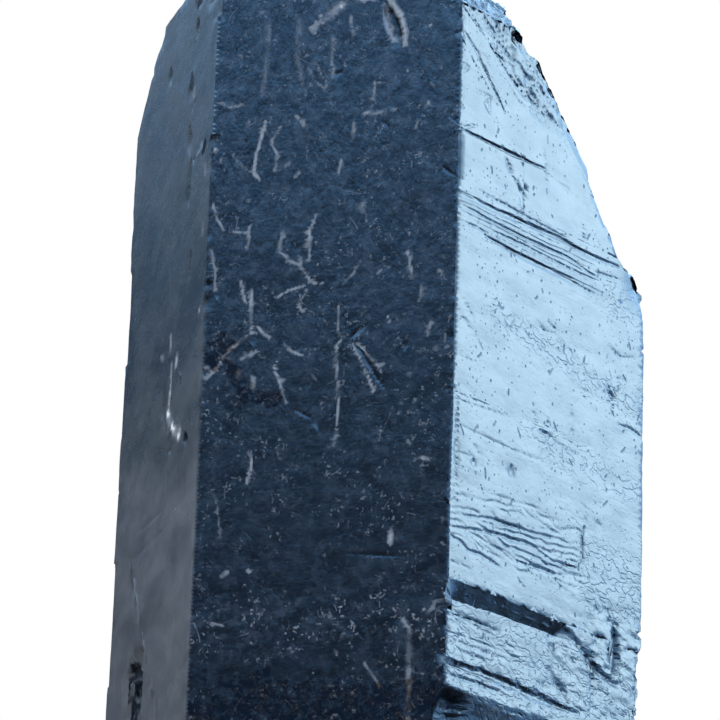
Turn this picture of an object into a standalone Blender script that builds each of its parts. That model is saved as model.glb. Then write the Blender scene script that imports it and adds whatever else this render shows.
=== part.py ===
"""A single dark tourmaline crystal that stands on its cut base.

It is a six-sided prism with flat, striated faces, growth ledges, pits and chipped edges, under a stepped,
off-centre point. Metres, +Z up along the crystal's length. The origin is on the surface that the crystal
stands on, under the middle of its bounding box.
"""

import math

import bmesh
import bpy
from mathutils import Matrix, Vector

MM = 0.001

# The prism. Its faces meet at 120 degrees, and are named as they follow each other round the crystal.
FACE_NAMES = ("front", "right", "back_right", "back", "back_left", "left")
FRONT_WIDTH = 15.0 * MM
RIGHT_WIDTH = 17.8 * MM
BACK_RIGHT_WIDTH = 14.4 * MM
BACK_WIDTH = 18.2 * MM
BACK_LEFT_WIDTH = FRONT_WIDTH + RIGHT_WIDTH - BACK_WIDTH
LEFT_WIDTH = RIGHT_WIDTH + BACK_RIGHT_WIDTH - BACK_LEFT_WIDTH
FACE_WIDTHS = (FRONT_WIDTH, RIGHT_WIDTH, BACK_RIGHT_WIDTH, BACK_WIDTH, BACK_LEFT_WIDTH, LEFT_WIDTH)
TURN = math.radians(60)
BLANK_HEIGHT = 80.0 * MM

# The point. Each of its faces slopes in above a prism face, at this angle from the crystal's length,
# and starts at its own height, so the tip stands off the middle.
POINT_ANGLE = math.radians(38.2)
POINT_STARTS = {
    "front": 52.4 * MM,
    "right": 50.4 * MM,
    "back_right": 37.8 * MM,
    "back": 46.0 * MM,
    "back_left": 49.8 * MM,
    "left": 55.2 * MM,
}

# Ledges: a face is set back by DEPTH between two heights, and the wall above the step leans in over SLANT.
# Each is (face, from across, to across, from up, to up, depth, slant), across being measured along the face.
LEDGES = (
    ("right", -2.0, 20.0, -2.0, 8.1, 0.60, 0.7),
    ("right", -2.0, 20.0, 14.3, 26.0, 0.20, 0.3),
    ("right", 6.0, 20.0, 38.9, 42.3, 0.12, 0.1),
    ("left", 12.9, 19.0, 42.6, 60.0, 0.22, 1.2),
    ("left", 5.2, 7.8, -2.0, 13.6, 0.40, 0.8),
    ("back_right", -2.0, 9.0, -2.0, 11.5, 0.55, 0.6),
    ("back_right", 5.0, 16.0, 24.0, 31.0, 0.30, 0.4),
    ("back", 8.5, 20.0, 18.0, 29.5, 0.45, 0.5),
    ("back", -2.0, 20.0, -2.0, 6.5, 0.50, 0.5),
    ("back", -2.0, 7.0, 38.0, 52.0, 0.40, 0.6),
    ("back_left", -2.0, 16.0, 13.0, 21.0, 0.35, 0.4),
    ("back_left", 4.0, 16.0, 34.0, 40.5, 0.45, 0.5),
)

# Grooves across a face: (face, from across, to across, up, width, depth).
GROOVES = (
    ("right", -1.0, 8.0, 42.3, 0.45, 0.35),
    ("right", -1.0, 16.5, 38.45, 0.36, 0.22),
    ("right", -1.0, 13.0, 37.75, 0.34, 0.24),
    ("right", -1.0, 13.5, 37.05, 0.40, 0.28),
    ("right", 2.5, 15.5, 36.20, 0.44, 0.30),
    ("right", -1.0, 9.6, 13.85, 1.30, 0.60),
    ("right", 9.2, 13.2, 12.90, 0.90, 0.50),
    ("right", -1.0, 13.0, 9.40, 0.70, 0.38),
    ("right", -1.0, 8.0, 11.20, 0.25, 0.15),
    ("right", -1.0, 9.5, 25.85, 0.24, 0.14),
    ("right", -1.0, 9.0, 23.80, 0.24, 0.14),
    ("back_right", -1.0, 11.0, 15.4, 0.50, 0.35),
    ("back_right", 2.0, 15.0, 20.2, 0.35, 0.22),
    ("back_right", 3.0, 15.0, 21.1, 0.30, 0.20),
    ("back_right", -1.0, 10.0, 33.6, 0.40, 0.26),
    ("back", 2.0, 19.0, 12.2, 0.60, 0.40),
    ("back", -1.0, 12.0, 13.6, 0.35, 0.24),
    ("back", -1.0, 19.0, 33.5, 0.45, 0.30),
    ("back", -1.0, 14.0, 34.4, 0.30, 0.20),
    ("back", 3.0, 19.0, 35.3, 0.36, 0.24),
    ("back_left", -1.0, 15.5, 9.0, 0.45, 0.30),
    ("back_left", 3.0, 15.5, 25.6, 0.34, 0.22),
    ("back_left", -1.0, 12.0, 27.0, 0.50, 0.34),
    ("back_left", -1.0, 9.0, 44.2, 0.36, 0.24),
    ("left", 5.9, 15.8, 19.2, 0.30, 0.12),
    ("left", 3.6, 13.6, 20.3, 0.26, 0.10),
)

# Pits, notches and scars: (face, across, up, width, height, depth, lean in degrees).
PITS = (
    ("right", 15.1, 14.0, 0.9, 4.4, 0.70, 0),
    ("right", 13.1, 12.5, 0.9, 1.7, 0.60, 0),
    ("right", 14.3, 29.7, 1.0, 0.9, 0.45, 20),
    ("right", 12.1, 19.8, 0.34, 5.8, 0.30, 0),
    ("right", 2.0, 46.6, 0.50, 6.4, 0.32, -49),
    ("right", 6.1, 47.6, 2.4, 1.2, 0.45, -30),
    ("right", 5.4, 40.4, 0.5, 1.5, 0.25, -30),
    ("front", 10.8, 49.3, 0.9, 3.6, 0.40, -18),
    ("front", 14.9, 12.9, 1.0, 2.2, 0.60, -35),
    ("left", 12.9, 28.0, 0.9, 7.6, 0.40, -28),
    ("back_right", 6.5, 27.5, 0.8, 3.2, 0.45, 12),
    ("back_right", 10.5, 8.0, 1.6, 1.1, 0.50, 0),
    ("back", 5.2, 24.0, 0.7, 4.6, 0.45, -8),
    ("back", 12.6, 39.0, 1.8, 1.0, 0.50, 24),
    ("back_left", 9.5, 31.2, 0.6, 3.4, 0.40, 0),
    ("back_left", 4.6, 16.8, 1.3, 1.0, 0.45, 40),
)

# Chips knocked off the long edges and the rim of the base, each a stretched lump beside the edge where its face
# ends: (face, up, half the lump's length, the lump's radius, how far it bites in).
CHIPS = (
    ("right", 10.2, 7.6, 3.0, 0.85),
    ("right", 17.6, 1.5, 1.5, 0.25),
    ("left", 33.8, 2.2, 2.2, 0.28),
    ("front", 0.6, 3.4, 3.4, 1.10),
    ("right", 0.4, 3.8, 3.8, 1.30),
    ("back_right", 0.5, 3.2, 3.2, 1.10),
    ("back", 0.6, 3.6, 3.6, 1.20),
    ("back_left", 0.4, 3.0, 3.0, 1.00),
    ("left", 0.5, 3.4, 3.4, 1.15),
    ("back_right", 24.0, 4.2, 2.0, 0.35),
    ("back", 31.0, 3.0, 2.0, 0.30),
    ("back_left", 20.5, 4.6, 2.0, 0.30),
)

# Growth steps across the slopes of the point: (face, from across, to across, height above the slope's start,
# width, depth).
POINT_STEPS = (
    ("back_right", -6.0, 11.0, 4.0, 0.80, 0.35),
    ("back_right", 0.5, 22.0, 9.5, 1.10, 0.45),
    ("back_right", -4.0, 7.6, 15.4, 0.70, 0.30),
    ("back_left", 4.0, 18.0, 3.2, 0.80, 0.35),
    ("back_left", -2.0, 8.2, 7.6, 0.70, 0.30),
    ("front", 5.2, 18.0, 4.6, 0.70, 0.30),
)

# Long bites out of the sharp edge between a prism face and a slope of the point:
# (prism face, from across, from up, to across, to up, radius of the cutting rod, how far it bites in).
EDGE_BITES = (
    ("right", 11.0, 45.3, 17.9, 37.4, 3.0, 0.95),
    ("right", 14.3, 41.2, 17.0, 38.2, 1.4, 0.75),
    ("right", 4.2, 51.9, 7.6, 48.8, 2.4, 0.55),
    ("left", 3.2, 53.6, 6.2, 55.2, 2.2, 0.40),
)

OVERSHOOT = 1.0 * MM  # how far a cutter stands clear of the face that it cuts
PROUD = 0.02 * MM  # a groove's or pit's middle stands this far out, so that no corner lies in the face
CRYSTAL_COLOUR = (0.012, 0.017, 0.026, 1.0)


def clear_scene():
    for obj in list(bpy.data.objects):
        bpy.data.objects.remove(obj)


def new_collection(name):
    collection = bpy.data.collections.new(name)
    bpy.context.scene.collection.children.link(collection)
    return collection


def prism_corners():
    """The section's corners, starting at the front face's left end, before they are centred."""
    corners = [Vector((0.0, 0.0, 0.0))]
    for index, width in enumerate(FACE_WIDTHS[:-1]):
        heading = Matrix.Rotation(index * TURN, 3, "Z") @ Vector((1.0, 0.0, 0.0))
        corners.append(corners[-1] + heading * width)
    xs = [corner.x for corner in corners]
    ys = [corner.y for corner in corners]
    middle = Vector(((min(xs) + max(xs)) / 2, (min(ys) + max(ys)) / 2, 0.0))
    return [corner - middle for corner in corners]


CORNERS = prism_corners()


def face_matrix(name):
    """A face's own frame: X across it, Y into the crystal, Z up, from the foot of the edge where it starts."""
    index = FACE_NAMES.index(name)
    return Matrix.Translation(CORNERS[index]) @ Matrix.Rotation(index * TURN, 4, "Z")


def crystal_blank():
    """The prism with its point, as flat faces only."""
    bm = bmesh.new()
    floor = bm.faces.new([bm.verts.new(corner) for corner in CORNERS])
    raised = bmesh.ops.extrude_face_region(bm, geom=[floor])["geom"]
    tops = [element for element in raised if isinstance(element, bmesh.types.BMVert)]
    bmesh.ops.translate(bm, vec=(0.0, 0.0, BLANK_HEIGHT), verts=tops)
    for name, start in POINT_STARTS.items():
        frame = face_matrix(name)
        outward = frame.to_3x3() @ Vector((0.0, -math.cos(POINT_ANGLE), math.sin(POINT_ANGLE)))
        everything = bm.verts[:] + bm.edges[:] + bm.faces[:]
        cut = bmesh.ops.bisect_plane(
            bm,
            geom=everything,
            dist=1e-7,
            plane_co=frame @ Vector((0.0, 0.0, start)),
            plane_no=outward,
            clear_outer=True,
        )["geom_cut"]
        rim = [element for element in cut if isinstance(element, bmesh.types.BMEdge)]
        bmesh.ops.contextual_create(bm, geom=rim)
    bmesh.ops.recalc_face_normals(bm, faces=bm.faces[:])
    bmesh.ops.triangulate(bm, faces=bm.faces[:])
    return bm


def box(size_x, size_y, size_z):
    bm = bmesh.new()
    bmesh.ops.create_cube(bm, size=1.0)
    bmesh.ops.scale(bm, vec=(size_x, size_y, size_z), verts=bm.verts[:])
    return bm


def ledge_cutter(across_from, across_to, up_from, up_to, depth, slant):
    """A slab whose top leans down as it goes in, in the face's frame."""
    bm = box(across_to - across_from, depth + OVERSHOOT, up_to - up_from)
    middle = ((across_from + across_to) / 2, (depth - OVERSHOOT) / 2, (up_from + up_to) / 2)
    bmesh.ops.translate(bm, vec=middle, verts=bm.verts[:])
    inner_top = [v for v in bm.verts if v.co.y > 0 and v.co.z > middle[2]]
    outer_top = [v for v in bm.verts if v.co.y < 0 and v.co.z > middle[2]]
    bmesh.ops.translate(bm, vec=(0.0, 0.0, -slant), verts=inner_top)
    bmesh.ops.translate(bm, vec=(0.0, 0.0, slant * OVERSHOOT / depth), verts=outer_top)
    return bm


def groove_cutter(across_from, across_to, up, width, depth):
    """A four-sided rod on its edge, lying along the face."""
    bm = bmesh.new()
    bmesh.ops.create_cone(bm, cap_ends=True, segments=4, radius1=1.0, radius2=1.0, depth=1.0)
    bmesh.ops.rotate(bm, matrix=Matrix.Rotation(math.radians(90), 3, "Y"), verts=bm.verts[:])
    bmesh.ops.scale(bm, vec=(across_to - across_from, depth, width / 2), verts=bm.verts[:])
    middle = ((across_from + across_to) / 2, -PROUD, up)
    bmesh.ops.translate(bm, vec=middle, verts=bm.verts[:])
    return bm


def pit_cutter(across, up, width, height, depth, lean):
    """A stretched, faceted lump, leaning in the plane of the face."""
    bm = bmesh.new()
    bmesh.ops.create_icosphere(bm, subdivisions=1, radius=1.0)
    bmesh.ops.scale(bm, vec=(width / 2, depth, height / 2), verts=bm.verts[:])
    bmesh.ops.rotate(bm, matrix=Matrix.Rotation(math.radians(lean), 3, "Y"), verts=bm.verts[:])
    bmesh.ops.translate(bm, vec=(across, -PROUD, up), verts=bm.verts[:])
    return bm


def chip_cutter(face_width, up, half_length, radius, bite):
    """A stretched lump that bites into the edge where the face ends."""
    bm = bmesh.new()
    bmesh.ops.create_icosphere(bm, subdivisions=2, radius=1.0)
    bmesh.ops.scale(bm, vec=(radius, radius, half_length), verts=bm.verts[:])
    away = Vector((math.cos(TURN), -math.sin(TURN), 0.0)) * (radius - bite)
    bmesh.ops.translate(bm, vec=away + Vector((face_width, 0.0, up)), verts=bm.verts[:])
    return bm


def edge_bite_cutter(across_from, up_from, across_to, up_to, radius, bite):
    """A slim, faceted spindle beside the face's sloping edge, sunk into it by a bite, in the face's frame."""
    start, end = Vector((across_from, 0.0, up_from)), Vector((across_to, 0.0, up_to))
    along = end - start
    bm = bmesh.new()
    bmesh.ops.create_icosphere(bm, subdivisions=2, radius=1.0)
    bmesh.ops.scale(bm, vec=(radius, radius, along.length / 2), verts=bm.verts[:])
    turn = Vector((0.0, 0.0, 1.0)).rotation_difference(along.normalized()).to_matrix()
    bmesh.ops.rotate(bm, matrix=turn, verts=bm.verts[:])
    outward = Vector((abs(along.z), 0.0, abs(along.x))).normalized()
    if along.x < 0 < along.z or along.z < 0 < along.x:
        away = outward
    else:
        away = Vector((-outward.x, 0.0, outward.z))
    bmesh.ops.translate(bm, vec=(start + end) / 2 + away * (radius - bite), verts=bm.verts[:])
    return bm


def point_step_cutter(name, across_from, across_to, rise, width, depth):
    """A rod across a slope of the point, level, a given height above the slope's start."""
    run = rise * math.tan(POINT_ANGLE)
    bm = groove_cutter(across_from, across_to, 0.0, width, depth)
    bmesh.ops.rotate(bm, matrix=Matrix.Rotation(-POINT_ANGLE, 3, "X"), verts=bm.verts[:])
    bmesh.ops.translate(bm, vec=(0.0, run, POINT_STARTS[name] + rise), verts=bm.verts[:])
    return bm


def object_from(bm, name, collection):
    mesh = bpy.data.meshes.new(name)
    bm.to_mesh(mesh)
    bm.free()
    obj = bpy.data.objects.new(name, mesh)
    collection.objects.link(obj)
    return obj


def add_cutter(crystal, bm, face, name, collection, solver="EXACT"):
    """Places a cutter, made in its face's frame, and takes it away from the crystal."""
    cutter = object_from(bm, name, collection)
    cutter.matrix_world = face_matrix(face)
    cutter.hide_render = True
    cutter.display_type = "WIRE"
    boolean = crystal.modifiers.new(name, "BOOLEAN")
    boolean.operation = "DIFFERENCE"
    boolean.solver = solver
    boolean.object = cutter


def in_metres(values):
    return [value * MM for value in values]


def cut_features(crystal, collection):
    for index, (face, *sizes) in enumerate(LEDGES):
        add_cutter(crystal, ledge_cutter(*in_metres(sizes)), face, f"ledge_{index}", collection)
    for index, (face, *sizes) in enumerate(GROOVES):
        add_cutter(crystal, groove_cutter(*in_metres(sizes)), face, f"groove_{index}", collection)
    for index, (face, *sizes, lean) in enumerate(PITS):
        add_cutter(crystal, pit_cutter(*in_metres(sizes), lean), face, f"pit_{index}", collection)
    for index, (face, *sizes) in enumerate(CHIPS):
        width = FACE_WIDTHS[FACE_NAMES.index(face)]
        add_cutter(crystal, chip_cutter(width, *in_metres(sizes)), face, f"chip_{index}", collection)
    for index, (face, *sizes) in enumerate(EDGE_BITES):
        add_cutter(crystal, edge_bite_cutter(*in_metres(sizes)), face, f"edge_bite_{index}", collection)
    # The exact solver leaves doubled walls in these shallow grooves.
    for index, (face, *sizes) in enumerate(POINT_STEPS):
        cutter = point_step_cutter(face, *in_metres(sizes))
        add_cutter(crystal, cutter, face, f"point_step_{index}", collection, solver="MANIFOLD")


def crystal_material():
    """Near-black, glassy mineral."""
    material = bpy.data.materials.new("tourmaline")
    material.use_nodes = True
    shader = material.node_tree.nodes["Principled BSDF"]
    shader.inputs["Base Color"].default_value = CRYSTAL_COLOUR
    shader.inputs["Roughness"].default_value = 0.16
    shader.inputs["Metallic"].default_value = 0.0
    shader.inputs["IOR"].default_value = 1.63
    return material


def main():
    clear_scene()
    parts = new_collection("Tourmaline crystal")
    cutters = new_collection("Cutters")
    crystal = object_from(crystal_blank(), "tourmaline_crystal", parts)
    crystal.data.materials.append(crystal_material())
    cut_features(crystal, cutters)


main()
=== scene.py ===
"""A dark tourmaline crystal: a six-sided prism under a stepped point, striated, pitted, scuffed and dusty."""

import math

import bmesh
import bpy
import numpy as np
from mathutils import Matrix, Vector


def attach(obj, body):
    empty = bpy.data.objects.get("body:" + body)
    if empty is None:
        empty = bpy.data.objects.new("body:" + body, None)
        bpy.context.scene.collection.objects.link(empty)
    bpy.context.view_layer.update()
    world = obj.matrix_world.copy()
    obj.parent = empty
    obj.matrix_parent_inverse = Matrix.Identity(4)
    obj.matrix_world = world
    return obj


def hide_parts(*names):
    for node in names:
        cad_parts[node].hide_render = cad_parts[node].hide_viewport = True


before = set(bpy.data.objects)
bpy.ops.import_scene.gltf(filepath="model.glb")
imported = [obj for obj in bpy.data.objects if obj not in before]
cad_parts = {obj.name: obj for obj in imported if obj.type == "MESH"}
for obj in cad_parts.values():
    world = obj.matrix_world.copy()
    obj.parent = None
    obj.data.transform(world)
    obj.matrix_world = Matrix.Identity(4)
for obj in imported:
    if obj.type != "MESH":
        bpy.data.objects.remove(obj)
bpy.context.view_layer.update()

# The crystal's body. One solid mineral prism, six-sided, that grew in layers and was snapped off its rock.
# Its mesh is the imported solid, merged, cut into ever smaller triangles, and worked by depth functions.

NODE = "tourmaline_crystal"
MM = 0.001
TURN = math.radians(60)
FACES = ("front", "right", "back_right", "back", "back_left", "left")
WIDTHS = (15.0, 17.8, 14.4, 18.2, 14.6, 17.6)  # of the prism's faces, in mm, in the same order
FRONT, RIGHT, BACK_RIGHT, LEFT, BASE = 0, 1, 2, 5, 12
POINT_SLOPE = math.radians(38.2)
POINT_STARTS = (52.4, 50.4, 37.8, 46.0, 49.8, 55.2)
SEEN_SLOPE_PROUD = 0.30
PROUD = 0.07  # how far the worked faces stand out on average, which the relief then takes away again


def prism_corners():
    corners = [np.zeros(3)]
    for index, width in enumerate(WIDTHS[:-1]):
        heading = np.array([math.cos(index * TURN), math.sin(index * TURN), 0.0])
        corners.append(corners[-1] + heading * width)
    corners = np.array(corners)
    return corners - (corners.min(0) + corners.max(0)) / 2


CORNERS = prism_corners()
ACROSS = np.array([[math.cos(i * TURN), math.sin(i * TURN), 0.0] for i in range(6)])
OUTWARD = np.array([[math.sin(i * TURN), -math.cos(i * TURN), 0.0] for i in range(6)])
SLOPE_OUTWARD = OUTWARD * math.cos(POINT_SLOPE) + np.array([0, 0, 1]) * math.sin(POINT_SLOPE)
SLOPE_FEET = CORNERS + np.array([[0, 0, start] for start in POINT_STARTS])
# The planes are the six prism faces, the six slopes, and the cut base.
PLANE_OUT = np.vstack([OUTWARD, SLOPE_OUTWARD, [[0.0, 0.0, -1.0]]])
PLANE_AT = np.vstack([CORNERS, SLOPE_FEET, [[0.0, 0.0, 0.0]]])


def depths_under_planes(points):
    """How far each point lies inside each of the thirteen planes, in mm."""
    return np.einsum("kj,kj->k", PLANE_AT, PLANE_OUT)[None, :] - points @ PLANE_OUT.T


def across_and_up(points, plane):
    """A point's place on a face: along it from the face's first corner, and its height."""
    return (points - CORNERS[plane % 6]) @ ACROSS[plane % 6], points[:, 2]


# Strokes are cracks, scars and layer edges engraved in a face. Each kind has a width, a depth, and its
# paths, whose places are (across, up) in mm.
STROKES = {
    "right": {
        "upper groove": (0.30, 0.115, ((0.0, 42.3), (4.0, 42.3), (8.1, 42.4))),
        "groove tail": (0.12, 0.035, ((8.2, 42.2), (10.5, 41.7), (11.8, 41.4))),
        "crossing crack": (0.20, 0.075, ((0.3, 48.6), (1.4, 47.7), (2.2, 46.8), (3.1, 45.9), (4.0, 44.9))),
        "chevron": (0.15, 0.045, ((0.5, 45.2), (2.7, 45.3), (2.7, 44.0))),
        "leaf scar": (0.28, 0.09,
            ((4.3, 41.9), (4.6, 41.4), (4.9, 40.9)), ((5.2, 40.8), (5.6, 40.4), (6.2, 39.8)),
        ),
        "rim line": (0.14, 0.03, ((6.9, 45.8), (9.2, 46.1), (10.2, 44.6), (12.3, 42.8), (12.8, 41.0))),
        "bundle, bold": (0.40, 0.09,
            ((0.0, 38.1), (5.0, 38.2), (9.5, 38.4), (12.2, 38.2), (15.3, 38.4)),
            ((2.9, 36.2), (4.1, 36.1), (6.4, 36.0), (8.1, 36.0), (10.3, 36.0), (12.6, 35.8)),
        ),
        "bundle, thin": (0.24, 0.055,
            ((0.4, 37.5), (2.8, 37.3), (6.6, 37.3), (10.2, 37.4), (13.0, 37.0)),
            ((2.1, 36.7), (6.0, 36.8), (10.2, 36.7), (13.0, 36.8)), ((0.4, 36.4), (1.9, 36.5), (2.9, 36.2)),
            ((1.8, 38.9), (6.0, 38.7), (10.0, 38.6)), ((13.0, 36.7), (13.1, 37.3), (15.6, 37.6)),
        ),
        "edge curls": (0.16, 0.05,
            ((0.6, 31.6), (1.3, 31.0), (1.7, 30.4)), ((0.0, 30.8), (1.0, 30.2), (1.4, 29.8)),
        ),
        "edge notches": (0.20, 0.06, ((-0.3, 46.6), (0.7, 46.5), (0.1, 45.9)), ((0.3, 42.4), (1.3, 42.9))),
        "squiggle": (0.13, 0.035,
            ((3.0, 32.0), (3.1, 31.4), (3.7, 31.3), (4.3, 31.0), (5.4, 31.2), (6.3, 31.3)),
        ),
        "smear": (0.22, 0.04,
            ((14.5, 32.9), (15.5, 32.5), (16.9, 32.9)), ((7.4, 32.2), (8.2, 31.9), (9.3, 32.1)),
        ),
        "blot": (0.55, 0.16, ((14.5, 29.9), (14.9, 29.7))),
        "blot's arms": (0.18, 0.05,
            ((13.7, 29.8), (14.7, 29.9), (15.4, 30.6), (15.3, 31.3)),
            ((14.2, 30.6), (14.7, 29.8), (14.8, 28.7), (15.2, 28.1)),
        ),
        "step past the blot": (0.26, 0.06, ((15.2, 28.1), (16.6, 28.2), (18.0, 27.9))),
        "upright ticks": (0.15, 0.05,
            ((7.9, 43.6), (8.1, 42.2), (8.2, 40.7)), ((11.9, 39.7), (11.7, 39.0)),
            ((6.5, 35.5), (6.6, 34.6)), ((9.1, 32.9), (9.1, 32.2)), ((8.5, 30.3), (8.7, 29.6)),
            ((9.2, 28.7), (9.7, 28.1)), ((12.1, 30.0), (12.1, 28.8)), ((17.6, 31.8), (17.6, 30.1)),
            ((7.2, 26.8), (7.6, 25.7)), ((8.6, 26.7), (8.7, 25.8)), ((10.9, 27.5), (10.9, 25.6)),
            ((1.9, 22.9), (2.4, 22.4)), ((6.1, 15.9), (6.9, 15.2)), ((5.6, 11.7), (6.0, 11.1), (6.0, 10.5)),
        ),
        "deep pits": (0.26, 0.12,
            ((5.4, 22.6), (5.4, 21.9)), ((2.0, 22.0), (2.0, 21.6)), ((7.8, 25.5), (8.9, 25.5)),
        ),
        "edge seam": (0.17, 0.10, ((0.30, 25.8), (0.34, 24.0), (0.42, 22.0), (0.55, 20.0))),
        "level lines": (0.19, 0.03,
            ((0.1, 25.6), (1.5, 25.6), (3.2, 25.7)), ((0.3, 25.2), (5.1, 25.5)),
            ((0.8, 23.7), (3.1, 23.6), (5.0, 23.6), (8.2, 23.6), (9.2, 23.9)), ((0.7, 27.9), (1.9, 28.0)),
            ((0.5, 22.0), (1.9, 22.1)), ((8.9, 25.4), (11.0, 24.9)), ((0.8, 10.7), (4.9, 10.7)),
            ((0.8, 10.2), (4.9, 10.2)),
        ),
        "long crack": (0.17, 0.06,
            ((12.1, 22.3), (12.4, 21.5), (12.1, 20.1), (12.1, 18.4), (11.9, 17.5), (12.0, 16.4)),
        ),
        "crack's branches": (0.16, 0.05, ((11.5, 20.6), (12.2, 19.9)), ((13.2, 21.4), (13.8, 21.2))),
        "fraying layers": (0.19, 0.085,
            ((1.1, 18.3), (3.7, 18.8), (5.7, 18.9), (7.6, 19.0), (9.2, 19.2)),
            ((-0.2, 17.3), (2.1, 17.7), (4.4, 18.1), (7.4, 18.2), (8.8, 17.9)),
            ((0.0, 16.8), (1.0, 16.7), (1.6, 16.3), (2.8, 16.4), (4.5, 16.1)),
            ((6.1, 16.9), (8.1, 17.0), (9.3, 17.0), (10.1, 16.3)), ((10.2, 17.8), (11.8, 18.0)),
        ),
        "frayed ends": (0.12, 0.04,
            ((3.9, 18.0), (5.0, 17.5), (5.9, 17.3)), ((3.6, 17.6), (4.8, 17.0), (5.9, 16.7)),
            ((9.3, 17.0), (10.9, 17.3), (12.9, 17.7)), ((0.0, 15.3), (1.9, 15.3)),
            ((1.8, 17.2), (3.0, 16.8), (4.6, 16.6)),
        ),
        "lower grooves": (0.24, 0.09,
            ((0.4, 12.2), (2.4, 12.3), (4.8, 12.2)), ((0.5, 8.6), (3.2, 8.7), (5.0, 8.7)),
        ),
        "slash": (0.34, 0.14, ((9.1, 11.1), (9.7, 10.7), (10.6, 10.0), (10.4, 9.3))),
        "wide groove at the foot": (0.60, 0.17,
            ((0.2, 9.3), (3.2, 9.4), (5.0, 9.4), (7.4, 9.2), (10.0, 9.1), (12.0, 9.1)),
        ),
        "deep crack": (0.62, 0.28, ((15.2, 15.2), (15.4, 13.9), (15.1, 12.9), (15.4, 11.8))),
        "its fork": (0.20, 0.06, ((14.8, 15.9), (15.1, 15.1)), ((15.6, 15.9), (15.4, 15.0))),
        "dropping crack": (0.26, 0.12, ((13.2, 13.2), (13.1, 12.1), (13.2, 11.6), (13.1, 9.9))),
        "broken layer": (0.55, 0.22,
            ((10.6, 13.9), (11.7, 13.4), (12.7, 12.8), (13.9, 12.1), (15.5, 11.8)),
        ),
    },
    "front": {
        "dark nicks": (0.20, 0.05,
            ((9.0, 28.9), (9.6, 28.2), (10.4, 26.8), (10.9, 26.0)), ((8.9, 29.2), (9.3, 29.6), (9.7, 29.9)),
            ((12.2, 28.9), (12.1, 28.3)), ((5.8, 24.8), (6.6, 24.3)), ((10.3, 43.0), (10.8, 42.5)),
            ((14.1, 39.8), (14.8, 39.2)), ((7.7, 46.3), (7.2, 46.2)),
        ),
        "level line": (0.12, 0.02, ((9.0, 15.9), (12.5, 15.6))),
    },
    "left": {
        "soft dents": (0.80, 0.11,
            ((13.2, 52.2), (13.2, 51.3)), ((12.4, 48.8), (12.4, 47.2)), ((12.5, 45.3), (12.8, 43.4)),
            ((13.0, 42.7), (13.1, 40.0)), ((7.4, 51.3), (7.6, 50.4)),
        ),
        "dark spot": (0.36, 0.10, ((14.1, 36.4), (14.0, 34.9))),
        "beside the scar": (0.60, 0.12,
            ((9.8, 29.3), (9.7, 28.3), (9.5, 27.4)), ((11.6, 25.0), (11.6, 24.4)),
        ),
        "winding scar": (0.40, 0.04,
            ((10.5, 32.2), (11.0, 30.2), (11.0, 28.9), (10.9, 27.6), (11.2, 26.5)),
        ),
        "scar's tip": (0.60, 0.16, ((14.5, 24.5), (15.4, 23.9))),
        "level dents": (0.50, 0.03, ((4.5, 19.9), (12.0, 19.7)), ((5.6, 21.3), (10.6, 21.1))),
        "notch's wall": (0.40, 0.10, ((7.3, 13.1), (7.5, 12.0), (8.0, 10.1), (8.1, 7.0))),
    },
}

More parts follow.
